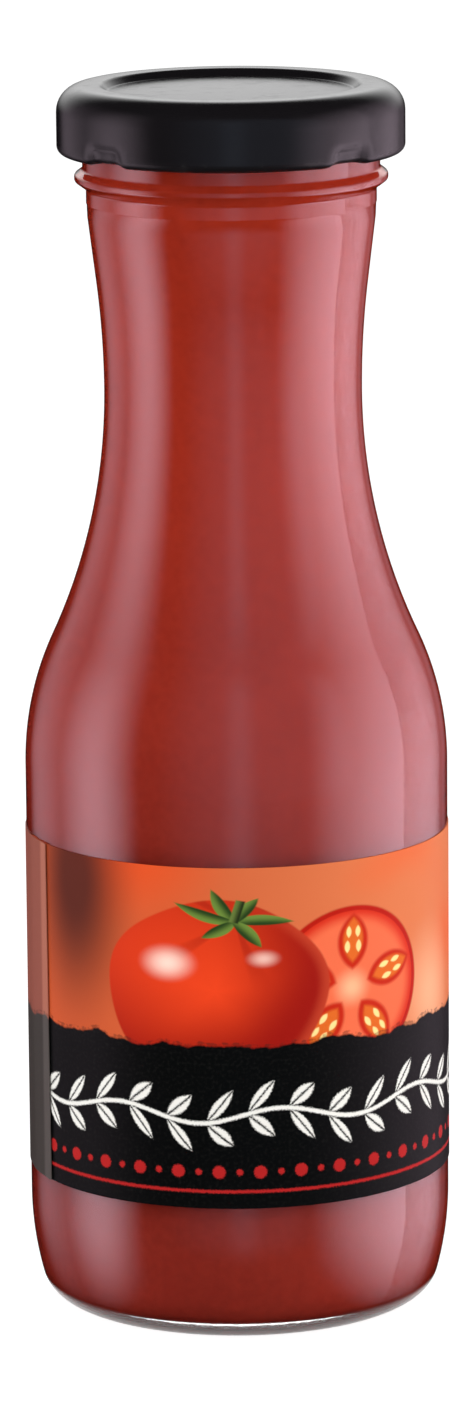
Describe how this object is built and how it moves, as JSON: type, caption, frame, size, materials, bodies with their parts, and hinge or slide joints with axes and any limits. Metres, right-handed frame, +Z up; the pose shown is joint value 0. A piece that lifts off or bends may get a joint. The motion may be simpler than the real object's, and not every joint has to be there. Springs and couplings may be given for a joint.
{
  "type": "tomato juice bottle",
  "caption": "Small clear glass bottle filled with tomato juice, with a long waisted neck, a black metal lug cap and a paper label wrapped round its straight body.",
  "frame": {"origin": "centre of the base, on the surface that the bottle stands on", "axes": "+Z up along the bottle's axis, -Y towards the front of the label, +X to the right seen from the front"},
  "size_m": [0.056, 0.056, 0.1619],
  "materials": {
    "clear_glass": "clear polished soda-lime glass",
    "tomato_juice": null,
    "black_lacquer": "gloss black lacquer on tinplate",
    "label_paper": "printed coated paper, orange over black"
  },
  "bodies": {
    "root": {"bottle": "clear_glass", "juice": "tomato_juice", "cap": "black_lacquer", "label": "label_paper"}
  },
  "joints": []
}
